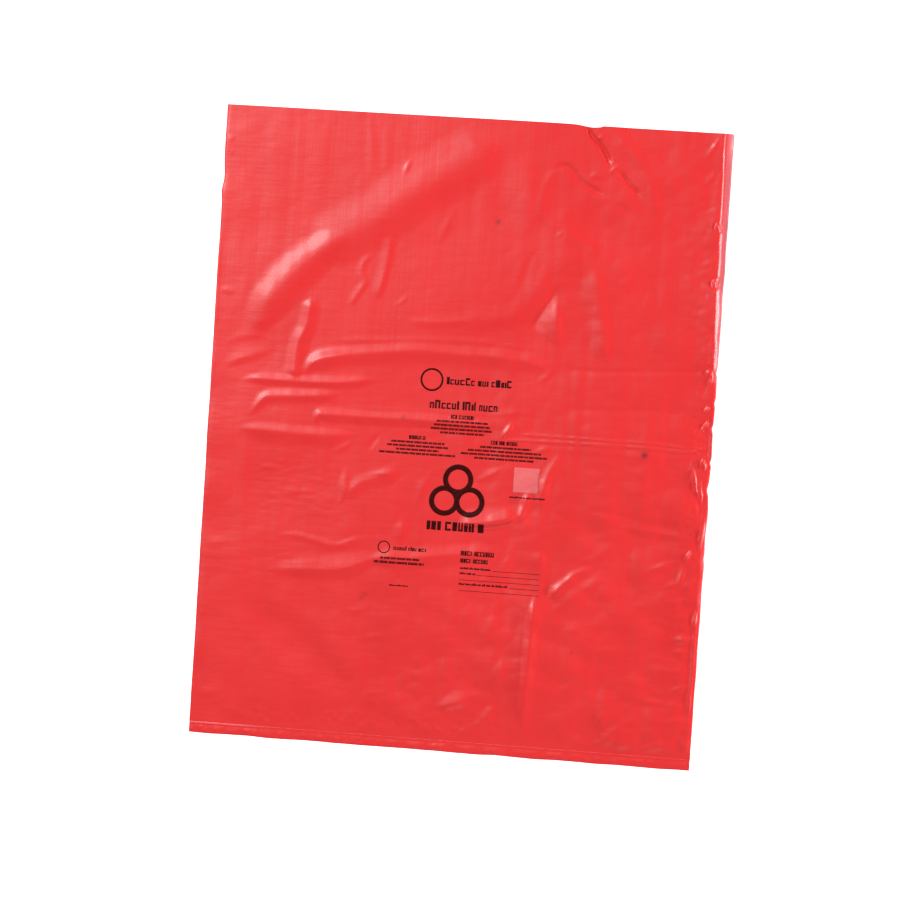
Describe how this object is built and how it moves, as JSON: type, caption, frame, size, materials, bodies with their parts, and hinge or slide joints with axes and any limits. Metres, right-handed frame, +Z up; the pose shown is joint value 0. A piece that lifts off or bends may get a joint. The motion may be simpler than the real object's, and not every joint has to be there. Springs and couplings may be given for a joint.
{
  "type": "film waste bag",
  "caption": "Flat red plastic-film waste bag with an open mouth, a heat-sealed foot and printed front, whose mouth lifts open like a pouch.",
  "frame": {"origin": "middle of the bag's outline on the surface that it lies on", "axes": "+X across the bag, +Y from the sealed foot to the open mouth, +Z up off the surface"},
  "size_m": [0.4826, 0.605, 0.0102],
  "materials": {
    "red_film": "satin, slightly translucent",
    "black_ink": "printed ink",
    "indicator": "printed patch, pale"
  },
  "bodies": {
    "back_wall": {"back_panel": "red_film", "bottom_seal": "red_film", "skirt_back_ply": "red_film", "skirt_front_ply": "red_film"},
    "back_left_side": {"back_left_wing": "red_film", "left_side_fold": "red_film"},
    "back_right_side": {"back_right_wing": "red_film", "right_side_fold": "red_film"},
    "front_wall": {"front_panel": "red_film", "indicator_patch": "indicator", "maker_mark_print": "black_ink", "title_print": "black_ink", "notice_centre_print": "black_ink", "notice_left_print": "black_ink", "notice_right_print": "black_ink", "indicator_caption_print": "black_ink", "emblem_print": "black_ink", "emblem_caption_print": "black_ink", "footer_mark_print": "black_ink", "footer_contact_print": "black_ink", "item_line_print": "black_ink", "size_line_print": "black_ink", "write_in_labels_print": "black_ink", "write_in_rules_print": "black_ink", "origin_line_print": "black_ink"},
    "front_left_side": {"front_left_wing": "red_film"},
    "front_right_side": {"front_right_wing": "red_film"}
  },
  "joints": [
    {"name": "mouth_open", "type": "hinge", "parent": "back_wall", "child": "front_wall", "pos_m": [0, -0.292, 0.0001], "axis": [1, 0, 0], "range_deg": [0, 14.6]},
    {"name": "back_left_crease", "type": "hinge", "parent": "back_wall", "child": "back_left_side", "pos_m": [-0.2413, -0.292, 0.00003], "axis": [0.3189, 0.9478, 0], "range_deg": [0, 23.73]},
    {"name": "front_left_crease", "type": "hinge", "parent": "front_wall", "child": "front_left_side", "pos_m": [-0.2413, -0.292, 0.00017], "axis": [-0.3189, -0.9477, -0.0159], "range_deg": [0, 23.73]},
    {"name": "back_right_crease", "type": "hinge", "parent": "back_wall", "child": "back_right_side", "pos_m": [0.2413, -0.292, 0.00003], "axis": [0.3189, -0.9478, 0], "range_deg": [0, 23.73]},
    {"name": "front_right_crease", "type": "hinge", "parent": "front_wall", "child": "front_right_side", "pos_m": [0.2413, -0.292, 0.00017], "axis": [-0.3189, 0.9477, 0.0159], "range_deg": [0, 23.73]}
  ],
  "couplings": [
    {"joint": "back_left_crease", "follows": "mouth_open", "ratio": 1.612},
    {"joint": "front_left_crease", "follows": "mouth_open", "ratio": 1.612},
    {"joint": "back_right_crease", "follows": "mouth_open", "ratio": 1.612},
    {"joint": "front_right_crease", "follows": "mouth_open", "ratio": 1.612}
  ]
}
